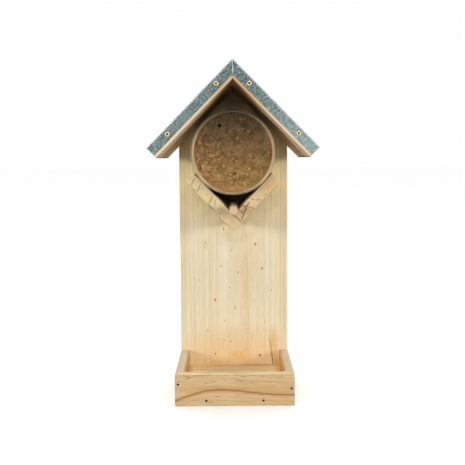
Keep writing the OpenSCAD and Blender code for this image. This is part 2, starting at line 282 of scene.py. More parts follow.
def pine(name, grain, pale, tan, contrast=0.3, blotch=0.5, ducts=0.35, marks=(), lines=(), stains_and_painted_light=(),
         plane=(0, 2), crest=None, streaky=0.4):
    """Sawn, unfinished pine: growth rings round the pith, fibres along the tree, resin ducts, pin
    knots with amber round them, stains of resin, and washes of painted light and shade, with end grain where
    a face is cut across."""
    made, tree, shader = new_material(name)
    place = board_place(tree, grain)
    height = crest(tree, place) if crest else None
    late = ring_lines(tree, place, grain, contrast, height)
    band = cloud(tree, stretched(tree, place, 1, 1, 0.03), 0.11, detail=2.0)
    fibre = cloud(tree, stretched(tree, place, 1, 1, 0.03), 2.1, detail=4.0, roughness=0.65)
    duct_field = cloud(tree, stretched(tree, place, 1, 1, 0.14), 1.15, detail=2.0, roughness=0.6)
    duct = times(tree, ramp(tree, duct_field, (0.0, 0.0), (0.64, 0.0), (0.74, 1.0)), ducts)

    wood = ramp(tree, band, (0.36, pale), (0.50, mid(pale, tan, blotch * 0.5)),
                (0.64, mid(pale, tan, blotch)))
    # Stains of resin and washes of painted light and shade, each over its own marks; a third entry keeps one
    # to the front face.
    for marks_of_stain_and_light, stain_and_light_colour, *skin in stains_and_painted_light:
        share = spots(tree, place, marks_of_stain_and_light, plane)
        if skin:
            share = times(tree, share, near_face(tree, place, skin[0]))
        wood = blend(tree, share, wood, stain_and_light_colour)
    wood = blend(tree, times(tree, late, 0.9), wood, mid(tan, srgb(184, 128, 66), 0.5))
    streak = ramp(tree, fibre, (0.3, 0.88), (0.5, 1.0), (0.7, 1.06))
    wood = blend(tree, 1.0, wood, streak, "MULTIPLY")
    comb = cloud(tree, stretched(tree, place, 1, 1, 0.05), 0.75, detail=2.0)
    dull = (1 - 0.08 * streaky, 1 - 0.13 * streaky, 1 - 0.19 * streaky, 1.0)
    combed = ramp(tree, comb, (0.34, dull), (0.5, 1.0), (0.68, 1 + 0.08 * streaky))
    wood = blend(tree, 1.0, wood, combed, "MULTIPLY")
    wood = blend(tree, duct, wood, srgb(146, 104, 60))
    if crest:
        bold = less(tree, 1.0, size_of(tree, calc(tree, "DIVIDE", height, 1.5)), clamp=True)
        glow = less(tree, 1.0, size_of(tree, calc(tree, "DIVIDE", height, 4.5)), clamp=True)
        wood = blend(tree, times(tree, glow, 0.4), wood, srgb(196, 140, 76))
        wood = blend(tree, times(tree, bold, 0.95), wood, srgb(154, 98, 42))
    pores = cloud(tree, place, 2.6, detail=3.0, roughness=0.7)
    cut = blend(tree, ramp(tree, pores, (0.35, 0.7), (0.6, 0.0)), wood, mid(tan, srgb(150, 110, 76), 0.45))
    wood = blend(tree, times(tree, cut_across(tree, grain), 0.75), wood, cut)
    relief = less(tree, fibre, times(tree, late, 0.25))
    if marks:
        knots = spots(tree, place, marks, plane)
        wood = blend(tree, ramp(tree, knots, (0.03, 0.0), (0.35, 0.65)), wood, srgb(206, 160, 98))
        wood = blend(tree, ramp(tree, knots, (0.3, 0.0), (0.85, 0.9)), wood, srgb(112, 70, 30))
    if lines:
        cracks = strokes(tree, place, lines, plane)
        wood = blend(tree, ramp(tree, cracks, (0.0, 0.0), (0.3, 0.55), (1.0, 1.0)), wood, srgb(92, 50, 18))
        relief = less(tree, relief, cracks)
    feed(tree, shader.inputs["Base Color"], wood)
    feed(tree, shader.inputs["Roughness"], ramp(tree, fibre, (0.3, 0.8), (0.7, 0.64)))
    shader.inputs["Specular IOR Level"].default_value = 0.35
    bump(tree, shader, relief, 0.00016, 0.8)
    return made


def mid(first, second, share):
    """A colour that lies the given share of the way from the first to the second."""
    return tuple(a + (b - a) * share for a, b in zip(first, second))


# ---------------------------------------------------------------- metals, glass and paste

def galvanised():
    """Hot-dipped zinc: small crystals that each take the light a little differently, dulled by weather.
    Painted highlights run along the fold and the bends, painted shade darkens it towards the ridge and
    painted light brightens its right side.
    """
    made, tree, shader = new_material("dull galvanised zinc")
    place = shaded_point(tree)
    warp = node(tree, "TexNoise", Vector=place, Scale=1200.0).outputs[1]
    warped = blend(tree, 0.0006, place, warp, "ADD")
    crystal = node(tree, "TexVoronoi", Vector=warped, Scale=1250.0).outputs["Color"]
    shade = node(tree, "SeparateColor", Color=crystal).outputs[0]
    fine = cloud(tree, place, 2600.0, detail=3.0, roughness=0.7)
    broad = cloud(tree, place, 26.0, detail=3.0)
    tone = plus(tree, times(tree, shade, 0.4), times(tree, fine, 0.8))
    colour = ramp(tree, tone, (0.36, srgb(40, 51, 51)), (0.6, srgb(72, 86, 85)), (0.88, srgb(128, 143, 141)))
    colour = blend(tree, ramp(tree, broad, (0.45, 0.0), (0.75, 0.12)), colour, srgb(112, 127, 125))
    parts = axes(tree, place)
    pitch = math.radians(ROOF_PITCH)
    # Painted highlight: a pale band just below the outer edge of the fold.
    fallen = times(tree, less(tree, roof_high.z, parts[2]), math.cos(pitch))
    run_out = times(tree, size_of(tree, parts[0]), math.sin(pitch))
    reach_below_fold_for_highlight = calc(tree, "DIVIDE", less(tree, fallen, run_out), 4 * MM)
    colour = blend(tree, ramp(tree, reach_below_fold_for_highlight, (0.1, 0.55), (0.34, 0.0)), colour, srgb(190, 200, 200))
    # Painted shade darkens the sheet towards the ridge, and painted light brightens its right side.
    sideways = calc(tree, "DIVIDE", parts[0], roof_high.x)
    shaded = ramp(tree, size_of(tree, sideways), (0.1, 0.76), (0.7, 1.02))
    colour = blend(tree, 1.0, colour, shaded, "MULTIPLY")
    colour = blend(tree, ramp(tree, sideways, (0.35, 0.0), (0.95, 0.36)), colour, srgb(146, 162, 160))
    normal = node(tree, "TexCoord").outputs["Normal"]
    facing = axes(tree, node(tree, "VectorMath", {"operation": "ABSOLUTE"}, Vector=normal).outputs[0])
    slope = blend(tree, 1.0, srgb(186, 196, 197), ramp(tree, tone, (0.36, 0.6), (0.88, 1.15)), "MULTIPLY")
    colour = blend(tree, ramp(tree, facing[2], (0.45, 0.0), (0.65, 0.7)), colour, slope)
    # Painted highlight: pale where a face turns between the front and the top, on the bends.
    bend_for_painted_highlight = times(tree, facing[1], facing[2])
    colour = blend(tree, ramp(tree, bend_for_painted_highlight, (0.12, 0.0), (0.3, 0.75)), colour, srgb(196, 206, 208))
    feed(tree, shader.inputs["Base Color"], colour)
    shader.inputs["Metallic"].default_value = 0.6
    feed(tree, shader.inputs["Roughness"], ramp(tree, tone, (0.3, 0.6), (0.9, 0.42)))
    bump(tree, shader, tone, 0.00005, 0.5)
    return made


def metal(name, dark, light, roughness):
    """Small hardware: its colour breathes a little and fine scratches cross it."""
    made, tree, shader = new_material(name)
    place = shaded_point(tree)
    tone = cloud(tree, place, 500.0, detail=4.0, roughness=0.6)
    scratch = cloud(tree, stretched(tree, place, 1, 1, 9), 1250.0, detail=2.0)
    feed(tree, shader.inputs["Base Color"], ramp(tree, tone, (0.35, dark), (0.65, light)))
    shader.inputs["Metallic"].default_value = 1.0
    rough = ramp(tree, scratch, (0.3, roughness * 0.75), (0.7, roughness * 1.25))
    feed(tree, shader.inputs["Roughness"], rough)
    bump(tree, shader, scratch, 0.00003, 0.5)
    return made


def jar_height(tree, place, *stops):
    """A tone that changes from the bottom of the jar, 0, to its top, 1."""
    up = node(tree, "MapRange", Value=axes(tree, place)[2])
    up.inputs["From Min"].default_value = jar_low.z
    up.inputs["From Max"].default_value = jar_high.z
    return ramp(tree, up.outputs[0], *stops)


def jar_glass():
    """Soda glass, clear but greasy from the filling, so that its thick rim glows pale and warm; painted shade
    darkens it towards its top and bottom.
    """
    made, tree, shader = new_material("greasy jar glass")
    place = shaded_point(tree)
    smudge = cloud(tree, place, 120.0, detail=4.0)
    film = ramp(tree, smudge, (0.35, srgb(212, 188, 142)), (0.7, srgb(231, 211, 170)))
    # Painted shade: darker towards the top of the jar and towards its bottom.
    painted_shade_by_height = jar_height(tree, place, (0.0, 0.55), (0.2, 0.95), (0.6, 0.95), (0.86, 0.34), (1.0, 0.1))
    feed(tree, shader.inputs["Base Color"], blend(tree, 1.0, film, painted_shade_by_height, "MULTIPLY"))
    behind = node(tree, "MapRange", Value=axes(tree, place)[1])
    behind.inputs["From Min"].default_value = jar_low.y + 3 * MM
    behind.inputs["From Max"].default_value = jar_low.y + 14 * MM
    feed(tree, shader.inputs["Transmission Weight"], ramp(tree, behind.outputs[0], (0.0, 0.3), (1.0, 0.62)))
    shader.inputs["IOR"].default_value = 1.5
    shader.inputs["Specular IOR Level"].default_value = 0.22
    shader.inputs["Specular Tint"].default_value = srgb(214, 184, 132)
    dull = ramp(tree, smudge, (0.4, 0.3), (0.7, 0.42))
    clean = ramp(tree, behind.outputs[0], (0.0, 1.0), (1.0, 0.5))
    feed(tree, shader.inputs["Roughness"], times(tree, dull, clean))
    bump(tree, shader, cloud(tree, place, 90.0, detail=1.0), 0.0002, 0.2)
    return made


# Painted shade: how the tone of the food falls from the bottom of the jar to its top, where the roof shades
# it
ROOF_SHADE_ON_PASTE = [(0.1, 1.0), (0.5, 0.64), (0.8, 0.29), (0.95, 0.17)]
# Holes that air left in the paste: right, up, radius and depth, in millimetres from the jar's axis
AIR_HOLES = [(-13, 25.5, 1.35, 6.0), (1.5, -20.4, 0.8, 3.0), (9.7, -22.4, 0.5, 1.6)]
# Chips of nut, painted sheen and burnt skin on the paste: right, up, half width, half height, depth
PASTE_CHIPS = [
    (-31.8, 9.7, 2.0, 2.2, 1.0), (-29.4, 3.5, 2.1, 2.8, 0.9), (-20.8, -2.8, 3.4, 2.0, 0.6),
    (32.6, 16.4, 1.5, 2.4, 1.0), (-26, 20, 1.5, 2.6, 0.6), (-33, -6, 1.4, 3.0, 0.6),
]
PAINTED_SHEEN_ON_PASTE = [
    (-24, 22, 3, 6, 0.55), (-18, 14, 2.5, 5, 0.4), (-31.5, -1, 1.8, 7, 0.5), (-27, -14, 2, 5, 0.35),
]
PASTE_SKIN = [
    (35.8, -3, 1.8, 6, 0.85), (-34.5, 7, 1.3, 6, 0.5), (-26, 15, 1.0, 3.0, 0.5), (29, -20, 1.2, 3, 0.5),
]


def crumbs(tree, where, scale, share, size):
    """1 on a scattered share of the cells of a crumbly pattern, and 0 between them."""
    cells = node(tree, "TexVoronoi", Vector=where, Scale=scale)
    pick = node(tree, "SeparateColor", Color=cells.outputs["Color"]).outputs[0]
    near = ramp(tree, cells.outputs["Distance"], (size * 0.6, 1.0), (size, 0.0))
    return times(tree, near, calc(tree, "LESS_THAN", pick, share))


def peanut_paste():
    """Crunchy peanut butter: brown paste with crumbs and dark skin, darker towards the top of the jar in
    painted shade, with pale patches of painted sheen.
    """
    made, tree, shader = new_material("crunchy peanut butter")
    place = shaded_point(tree)
    swirl = node(tree, "TexNoise", Vector=place, Scale=90.0, Detail=2.0).outputs[1]
    pulled = blend(tree, 0.006, place, swirl, "ADD")
    soft = cloud(tree, pulled, 150.0, detail=4.0, roughness=0.6)
    grain = cloud(tree, pulled, 560.0, detail=3.0, roughness=0.65)
    pale_crumb = crumbs(tree, stretched(tree, pulled, 1.0, 1.0, 1.6), 300.0, 0.3, 0.42)
    small_crumb = crumbs(tree, stretched(tree, pulled, 1.5, 1.0, 1.0), 520.0, 0.28, 0.4)
    skin = crumbs(tree, pulled, 640.0, 0.16, 0.36)
    colour = ramp(tree, soft, (0.32, srgb(113, 83, 38)), (0.5, srgb(146, 112, 60)), (0.7, srgb(172, 136, 82)))
    colour = blend(tree, 1.0, colour, ramp(tree, grain, (0.34, 0.72), (0.5, 1.0), (0.66, 1.22)), "MULTIPLY")
    colour = blend(tree, times(tree, pale_crumb, 0.34), colour, srgb(216, 168, 98))
    colour = blend(tree, times(tree, small_crumb, 0.34), colour, srgb(190, 138, 70))
    colour = blend(tree, times(tree, skin, 0.6), colour, srgb(72, 44, 18))
    local = node(tree, "Mapping", {"vector_type": "TEXTURE"}, Vector=place,
                 Location=(0, jar_low.y, JAR_AXIS_Z), Scale=(MM, MM, MM)).outputs[0]
    parts = axes(tree, local)
    angle = calc(tree, "ARCTAN2", parts[2], times(tree, parts[0], -1.0))
    flat = node(tree, "VectorMath", {"operation": "MULTIPLY"}, Vector=local)
    flat.inputs[1].default_value = (1, 0, 1)
    out = node(tree, "VectorMath", {"operation": "LENGTH"}, Vector=flat.outputs[0]).outputs["Value"]
    combed = node(tree, "CombineXYZ", X=times(tree, angle, 13.0), Y=out).outputs[0]
    leftward = times(tree, plus(tree, parts[0], 6.0), -1 / 26, clamp=True)
    fleck = cloud(tree, combed, 0.62, detail=3.0, roughness=0.6, distortion=0.6)
    pale_fleck = times(tree, ramp(tree, fleck, (0.54, 0.0), (0.61, 0.95)), leftward)
    dark_fleck = times(tree, ramp(tree, fleck, (0.36, 0.75), (0.45, 0.0)), leftward)
    colour = blend(tree, pale_fleck, colour, srgb(222, 172, 112))
    colour = blend(tree, dark_fleck, colour, srgb(88, 58, 24))
    # Painted sheen: pale grey patches on the left of the paste.
    colour = blend(tree, spots(tree, local, PAINTED_SHEEN_ON_PASTE), colour, srgb(168, 150, 124))
    colour = blend(tree, spots(tree, local, PASTE_CHIPS), colour, srgb(238, 170, 88))
    colour = blend(tree, spots(tree, local, PASTE_SKIN), colour, srgb(98, 50, 14))
    colour = blend(tree, 1.0, colour, jar_height(tree, place, *ROOF_SHADE_ON_PASTE), "MULTIPLY")
    lips = [(right, up, radius * 2.9, radius * 2.6, 0.65) for right, up, radius, _ in AIR_HOLES]
    holes = [(right, up, radius * 1.3, radius * 1.25, 1.0) for right, up, radius, _ in AIR_HOLES]
    ragged = plus(tree, out, times(tree, cloud(tree, place, 260.0), 3.0))
    oily = ramp(tree, calc(tree, "DIVIDE", ragged, 40), (0.9, 0.0), (0.97, 0.7))
    amber = blend(tree, 1.0, srgb(170, 114, 44), jar_height(tree, place, *ROOF_SHADE_ON_PASTE), "MULTIPLY")
    colour = blend(tree, oily, colour, amber)
    colour = blend(tree, spots(tree, local, lips), colour, srgb(116, 104, 74))
    # Painted shade: the air holes are painted near black inside.
    painted_shade_in_holes = ramp(tree, spots(tree, local, holes), (0.05, 0.0), (0.4, 1.0))
    colour = blend(tree, painted_shade_in_holes, colour, srgb(28, 20, 12))
    feed(tree, shader.inputs["Base Color"], colour)
    shader.inputs["Specular IOR Level"].default_value = 0.25
    feed(tree, shader.inputs["Roughness"], ramp(tree, soft, (0.35, 0.7), (0.65, 0.4)))
    lumps = plus(tree, times(tree, grain, 1.4), times(tree, pale_crumb, 0.5))
    bump(tree, shader, lumps, 0.0007, 0.8)
    return made


def nut():
    """Chopped peanut: toasted gold under a film of paste, darker towards the top of the jar in painted shade.
    """
    made, tree, shader = new_material("chopped peanut")
    place = shaded_point(tree)
    toast = cloud(tree, place, 210.0, detail=3.0, roughness=0.6)
    colour = ramp(tree, toast, (0.32, srgb(160, 112, 52)), (0.5, srgb(196, 144, 74)),
                  (0.68, srgb(222, 176, 106)))
    colour = blend(tree, 1.0, colour, jar_height(tree, place, *ROOF_SHADE_ON_PASTE), "MULTIPLY")
    feed(tree, shader.inputs["Base Color"], colour)
    feed(tree, shader.inputs["Roughness"], ramp(tree, toast, (0.3, 0.6), (0.7, 0.4)))
    bump(tree, shader, cloud(tree, place, 1500.0, detail=3.0), 0.0002, 0.5)
    return made


# ---------------------------------------------------------------- pieces

def mesh_of(cad_node):
    """A merged copy of a CAD node's mesh, with its flat faces joined up."""
    bm = bmesh.new()
    bm.from_mesh(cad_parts[cad_node].data)
    bmesh.ops.remove_doubles(bm, verts=bm.verts, dist=0.002 * MM)
    bmesh.ops.dissolve_limit(bm, angle_limit=math.radians(0.5), verts=bm.verts, edges=bm.edges)
    return bm


def finish_piece(name, bm, material, body, smooth_under=40):
    """Turns the mesh into a piece that rides on its body, smooth wherever it bends by less than the angle."""
    mesh = bpy.data.meshes.new(name)
    bm.to_mesh(mesh)
    bm.free()
    for face in mesh.polygons:
        face.use_smooth = True
    mesh.set_sharp_from_angle(angle=math.radians(smooth_under))
    mesh.materials.append(material)
    piece = bpy.data.objects.new(name, mesh)
    bpy.context.scene.collection.objects.link(piece)
    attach(piece, body)
    return piece


def weigh_normals(piece):
    """Keeps broad flat faces flat and lets only their eased edges round."""
    piece.modifiers.new("flat faces", "WEIGHTED_NORMAL").keep_sharp = True


def long_edges(bm, shortest):
    """The outward edges that are longer than this and bend by more than 30 degrees."""
    return [e for e in bm.edges
            if len(e.link_faces) == 2 and e.calc_length() > shortest
            and e.is_convex and e.calc_face_angle(0) > math.radians(30)]


def ease(bm, edges, offset, segments):
    """Rounds the edges over."""
    bmesh.ops.bevel(bm, geom=edges, offset=offset, offset_type="OFFSET", segments=segments, profile=0.5,
                    affect="EDGES", material=-1, clamp_overlap=True)


def board(cad_node, material):
    """A planed board with its arrises just taken off."""
    bm = mesh_of(cad_node)
    ease(bm, long_edges(bm, 3.5 * MM), 0.45 * MM, 2)
    piece = finish_piece("pine_" + cad_node, bm, material, "house")
    weigh_normals(piece)
    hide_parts(cad_node)
    return piece


def hardware(cad_node, material):
    """Nails, screws and the plate: the CAD shape with its round faces made smooth."""
    piece = finish_piece("metal_" + cad_node, mesh_of(cad_node), material, "house", smooth_under=35)
    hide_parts(cad_node)
    return piece


BOARD_ORIGIN = (0, BOARD_FRONT, 0)
PALE, TAN = srgb(228, 218, 188), srgb(214, 190, 146)
AMBER = srgb(216, 165, 86)

# Pin knots and specks on the back board: across, up, half width, half length, depth
BOARD_SPECKS = [
    (-10.7, 162, 1.0, 1.7, 0.8), (23, 145.4, 1.2, 2.4, 0.85), (-2.4, 139, 1.2, 1.8, 0.35),
    (-30.3, 147.4, 1.6, 3.0, 0.3), (13, 130, 1.2, 2.2, 0.3), (-13.8, 122, 1.4, 1.5, 0.55),
    (30.2, 119, 1.4, 1.9, 0.75), (4.4, 115, 1.2, 1.5, 0.5), (17.7, 106.6, 1.4, 2.8, 0.2),
    (-37.6, 107, 1.0, 2.2, 0.25), (-4.6, 99, 1.4, 1.6, 0.3), (40, 95.6, 1.3, 1.7, 0.4),
    (-20.3, 85.4, 1.3, 1.9, 0.9), (1.1, 76.7, 1.2, 2.8, 0.45), (9.1, 89.3, 1.6, 2.2, 0.22),
    (23, 85, 1.2, 2.4, 0.2), (-10.5, 62.6, 1.2, 1.5, 0.4), (-29, 51.5, 1.0, 2.0, 0.45),
    (32.8, 61, 1.3, 1.9, 0.3), (19.6, 46.5, 1.4, 2.4, 0.3), (-10.7, 41.2, 1.2, 1.6, 0.45),
    (-4, 40, 1.2, 1.6, 0.5), (11, 30.5, 1.1, 2.0, 0.4), (-20.8, 26.8, 1.5, 1.7, 0.7),
    (27.5, 24.7, 1.7, 1.9, 0.95),
]
# A dark resin streak that starts in the lower right corner
BOARD_STREAKS = [
    ((41.8, 12), (40, 30), 1.1, 0.8), ((40.2, 26), (38, 45), 0.8, 0.5), ((44.4, 11), (43.4, 27), 0.8, 0.5),
    ((47, 11), (46, 22), 0.7, 0.4), ((4, floor_high.z / MM + 0.3), (47, floor_high.z / MM + 0.3), 0.6, 0.5),
]
# Amber resin low on the board, a wide amber wash across its bottom that is partly amber wood and partly
# painted shade from the tray walls, the darker wood along its two edges, and fainter bands
BOARD_STAINS = [
    (4, 24, 16, 11, 0.85), (-16, 17, 24, 9, 0.75), (14, 15, 36, 9, 0.7), (42, 34, 8, 26, 0.7),
    (47, 16, 8, 18, 0.9), (-45, 18, 12, 16, 0.4), (30, 22, 14, 22, 0.35), (0, 2, 95, 60, 0.66),
    (12, 115, 16, 48, 0.16), (-53, 170, 6, 150, 0.2), (53, 150, 6, 150, 0.22), (-30.3, 145, 3, 6, 0.3),
]

# Painted light: paler wood on the front face only, to this depth, which lightens the cradle's shadow there
FACE_DEPTH = 1.0
PAINTED_LIGHT_UNDER_CRADLE = [
    (2, 160, 12, 10, 0.8), (12, 168, 12, 11, 0.8), (22, 180, 11, 12, 0.85), (33, 192, 11, 11, 0.8),
    (42, 203, 10, 10, 0.6), (-9, 166, 11, 10, 0.6), (-20, 176, 11, 12, 0.8), (-32, 188, 11, 12, 0.8),
    (-42, 199, 10, 11, 0.75),
]

# End grain of the cradle's boards, as distances up the arm and through the board
LEFT_ARM_LINES = [
    ((48, -10.6), (51.2, -2.5), 0.8, 0.6), ((39.6, -10.6), (43.4, -1.5), 0.8, 0.55),
    ((23.4, -10.6), (27.6, -0.4), 0.8, 0.6), ((18, -9.5), (22.6, -0.6), 0.7, 0.5),
    ((13, -10.2), (25, -10.6), 0.9, 0.6), ((40, -10.4), (48, -10.6), 0.6, 0.35),
    ((2, -8), (12, -8.6), 0.7, 0.35), ((13.5, -9), (16.5, -2.5), 0.6, 0.35),
]
RIGHT_ARM_LINES = [
    ((0.15, 0.2), (0.15, 10.8), 0.8, 0.75), ((0.8, 9.6), (7.8, 6.2), 1.0, 0.8),
    ((7.4, 6.4), (14.2, 3.8), 1.1, 0.95), ((13.8, 4.0), (19.6, 2.4), 1.0, 0.7),
    ((12.6, 0.3), (14.4, 4.8), 1.3, 1.0), ((6.7, 1.1), (7.5, 7.1), 0.8, 0.85),
    ((3.4, 3.6), (3.8, 8.2), 0.7, 0.35), ((9.8, 2.6), (10.2, 5.4), 0.7, 0.4),
    ((15, 3.5), (18, 10.8), 0.8, 0.5), ((22.6, 0.6), (24.4, 5.0), 0.7, 0.65),
    ((24.4, 5.0), (29.2, 10.8), 0.7, 0.5), ((33, 8.6), (38, 9.4), 0.8, 0.3),
]

# Short dark resin cracks in the front board: down from its top, and along it
TRAY_DASHES = [
    ((5.6, -11.2), (5.9, -8.4), 0.5, 0.95), ((5.9, 1.0), (6.9, 10.6), 0.4, 0.85),
    ((2.4, -50), (2.9, -41), 0.45, 0.55), ((4.0, -45.8), (4.2, -43.3), 0.4, 0.8),
    ((2.2, 5), (2.3, 14), 0.4, 0.6), ((2.3, 24), (2.2, 29), 0.4, 0.55), ((4.8, -1), (5.2, 4), 0.4, 0.6),
    ((8.2, -30), (8.6, -24), 0.4, 0.45), ((8, 14), (8.6, 20), 0.4, 0.5), ((0.9, -57), (0.9, 57), 0.5, 0.4),
    ((21, -20), (22, -14), 0.4, 0.6), ((20, 22), (20.6, 28), 0.4, 0.5), ((3.4, 38), (4.0, 50), 0.4, 0.4),
    ((6.6, -24), (7.0, -17), 0.4, 0.5), ((26.5, -28), (27.5, -20), 0.4, 0.5),
]


def tray_crest(tree, place):
    """Height above the bold growth ring that rises to a low crest across the tray's front."""
    parts = axes(tree, place)
    curve = node(tree, "FloatCurve", Value=calc(tree, "DIVIDE", plus(tree, parts[2], 57.5), 115))
    line = curve.mapping.curves[0]
    for share, height in [(0.157, 0.377), (0.323, 0.506), (0.494, 0.487), (0.681, 0.406), (0.817, 0.358)]:
        line.points.new(share, height)
    line.points[0].location = (0.0, 0.16)
    line.points[-1].location = (1.0, 0.335)
    curve.mapping.update()
    ripple = times(tree, less(tree, cloud(tree, place, 0.12, detail=2.0), 0.5), 1.4)
    level = less(tree, tray_high.z / MM, times(tree, curve.outputs[0], 31))
    return plus(tree, less(tree, parts[0], level), ripple)


def make_wood():
    """Every wooden part, each with the grain that its saw cut would show."""
    back_grain = Grain(BOARD_ORIGIN, pith=(4, 62), ring=3.0, wander=1.6)
    # Painted light: the pale wash high on the board offsets the shade under the roof.
    back = pine("back board pine", back_grain, PALE, TAN, 0.24, 0.36,
                marks=BOARD_SPECKS, lines=BOARD_STREAKS, streaky=0.3,
                stains_and_painted_light=[([(0, 232, 110, 78, 0.9)], srgb(244, 224, 166)),
                        (PAINTED_LIGHT_UNDER_CRADLE, srgb(254, 240, 197), FACE_DEPTH), (BOARD_STAINS, AMBER)])
    board("back_board", back)

    # Painted highlight: the pale strip along the top of the front board, where its top face catches the
    # light.
    front = pine("tray front pine", Grain((0, TRAY_FRONT, tray_high.z), (0, 90, 0), ring=4.5, wander=0.6),
                 srgb(216, 188, 143), srgb(203, 164, 112), 0.3, 0.8, ducts=0.9, crest=tray_crest, streaky=0.9,
                 lines=TRAY_DASHES, stains_and_painted_light=[([(0, 0, 1.1, 90, 0.8)], srgb(244, 222, 182))])
    board("tray_front", front)

    # Painted light: the floor's wood is painted paler to make up for the roof's shade over it.
    floor_top = (0, floor_high.y, floor_high.z)
    floor = pine("tray floor pine", Grain(floor_top, (0, 90, 0), pith=(40, -60), ring=3.8),
                 srgb(248, 228, 184), srgb(236, 202, 146), 0.5, streaky=1.2)
    board("tray_floor", floor)

    for side, pith in (("left", (60, -30)), ("right", (-70, -20))):
        wall_low, wall_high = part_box("tray_side_" + side)
        inner = min(abs(wall_low.x), abs(wall_high.x)) / MM * (-1 if side == "left" else 1)
        wall_grain = Grain((0, BOARD_FRONT, tray_high.z), (-90, 0, 0), pith=pith, ring=2.6)
        wall = pine(f"tray {side} wall pine", wall_grain,
                    srgb(216, 200, 172), srgb(206, 180, 142), 0.4, plane=(0, 1),
                    stains_and_painted_light=[([(inner, 16, 2.8, 26, 0.9)], srgb(192, 142, 80))])
        board("tray_side_" + side, wall)

    corner = (0, arm_low.y, CRADLE_CORNER_Z)
    arms = {
        "left": (180 + CRADLE_PITCH, srgb(228, 214, 168), LEFT_ARM_LINES,
                 [([(8, -5.5, 7.5, 6, 0.55)], srgb(158, 134, 98)),
                  ([(-6, -5.5, 9, 9, 0.5)], srgb(216, 174, 126))]),
        "right": (-CRADLE_PITCH, srgb(223, 200, 152), RIGHT_ARM_LINES,
                  [([(44, 5, 10, 7, 0.55), (9, 5, 9, 7, 0.45)], srgb(208, 158, 112))]),
    }
    for side, (turn, pale, lines, stains_and_painted_light) in arms.items():
        arm = pine(f"cradle {side} pine", Grain(corner, (-90, turn, 0), pith=(140, 40), ring=7.0, wander=2.0),
                   pale, srgb(214, 182, 136), 0.25, lines=lines, stains_and_painted_light=stains_and_painted_light, plane=(0, 1))
        board("cradle_board_" + side, arm)

    ridge = (0, wood_low.y, wood_high.z)
    eave = wood_high.x / MM / math.cos(math.radians(ROOF_PITCH))
    # Painted light: the left slope's wood is paler than the right's to offset the deeper shade under it, and
    # each slope is painted paler towards its eave, where it sits in shade.
    slopes = (("left", -90 - ROOF_PITCH, (70, 40), srgb(224, 193, 152)),
              ("right", 90 + ROOF_PITCH, (80, 90), srgb(200, 168, 124)))
    for side, turn, pith, pale in slopes:
        plank = pine(f"roof {side} pine", Grain(ridge, (0, turn, 0), pith=pith, ring=3.0),
                     pale, srgb(196, 154, 108), 0.5,
                     stains_and_painted_light=[([(0, eave, 400, 78, 0.85)], srgb(248, 228, 198))])
        board("roof_board_" + side, plank)

    dowel_grain = Grain((0, perch_low.y, PERCH_AXIS_Z), (-90, 0, 0), pith=(30, 12), ring=1.7, wander=1.0)
    dowel = pine("dowel wood", dowel_grain, srgb(216, 194, 168), srgb(202, 168, 132), 0.3)
    make_perch(dowel)


def make_perch(material):
    """The dowel, with the small round that a saw and a rub of paper leave on its end."""
    bm = bmesh.new()
    radius = (perch_high.z - perch_low.z) / 2
    middle = Vector((0, 0, PERCH_AXIS_Z))
    length = perch_high.y - perch_low.y
    bmesh.ops.create_circle(bm, cap_ends=True, segments=48, radius=radius,
                            matrix=Matrix.Translation(middle) @ Matrix.Rotation(math.radians(90), 4, "X"))
    ends = bmesh.ops.extrude_face_region(bm, geom=bm.faces[:])
    far_end = [v for v in ends["geom"] if isinstance(v, bmesh.types.BMVert)]
    bmesh.ops.translate(bm, verts=far_end, vec=(0, length, 0))
    bmesh.ops.translate(bm, verts=bm.verts, vec=(0, perch_low.y, 0))
    bmesh.ops.recalc_face_normals(bm, faces=bm.faces)
    rims = [e for e in bm.edges if e.calc_face_angle(0) > math.radians(60)]
    ease(bm, rims, 0.5 * MM, 3)
    piece = finish_piece("wood_perch", bm, material, "house")
    weigh_normals(piece)
    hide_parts("perch_dowel")


BEND_RADIUS = 0.8 * MM


def narrowness(face):
    """About how wide a long face is."""
    return face.calc_area() / max(e.calc_length() for e in face.edges)


def make_roof_cover():
    """The folded sheet: each bend gets the radius that the folding bar leaves."""
    zinc = galvanised()
    bm = mesh_of("zinc_roof_cover")
    bends = [e for e in long_edges(bm, 8 * MM) if min(narrowness(f) for f in e.link_faces) > BEND_RADIUS]
    ease(bm, bends, BEND_RADIUS, 3)
    piece = finish_piece("folded_zinc_roof", bm, zinc, "house")
    weigh_normals(piece)
    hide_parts("zinc_roof_cover")
    make_ridge_laps(metal("bare cut zinc", srgb(118, 130, 131), srgb(160, 172, 173), 0.5))


def make_ridge_laps(zinc):
    """Where the folds meet at the ridge, the cut edge of the upper one stands proud in a fine line."""
    lap = 0.3 * MM
    fold = 10 * MM / math.cos(math.radians(ROOF_PITCH))
    bm = bmesh.new()
    top = roof_high.z - 1.0 * MM
    bottom = roof_high.z - fold - 0.4 * MM
    for end in (roof_low.y, roof_high.y):
        centre = Matrix.Translation((0, end, (top + bottom) / 2)) @ Matrix.Rotation(math.radians(-3), 4, "Y")
        size = Matrix.Diagonal((2 * lap, 0.5 * MM, top - bottom, 1))
        strip = bmesh.ops.create_cube(bm, size=1.0, matrix=centre @ size)
        faces = {face for vert in strip["verts"] for face in vert.link_faces}
        edges = {edge for face in faces for edge in face.edges}
        ease(bm, list(edges), 0.12 * MM, 2)
    bmesh.ops.recalc_face_normals(bm, faces=bm.faces)
    piece = finish_piece("ridge_mitre_edges", bm, zinc, "house")
    weigh_normals(piece)


def spun(bm, outline):
    """Turns an outline of (radius, distance in front of the jar's base) round the jar's axis."""
    points = [bm.verts.new((radius * MM, jar_high.y - ahead * MM, JAR_AXIS_Z)) for radius, ahead in outline]
    edges = [bm.edges.new(pair) for pair in zip(points, points[1:])]
    bmesh.ops.spin(bm, geom=points + edges, cent=(0, 0, JAR_AXIS_Z), axis=(0, 1, 0), angle=math.tau,
                   steps=128, use_merge=True)
    bmesh.ops.remove_doubles(bm, verts=bm.verts, dist=0.004 * MM)
    bmesh.ops.recalc_face_normals(bm, faces=bm.faces)


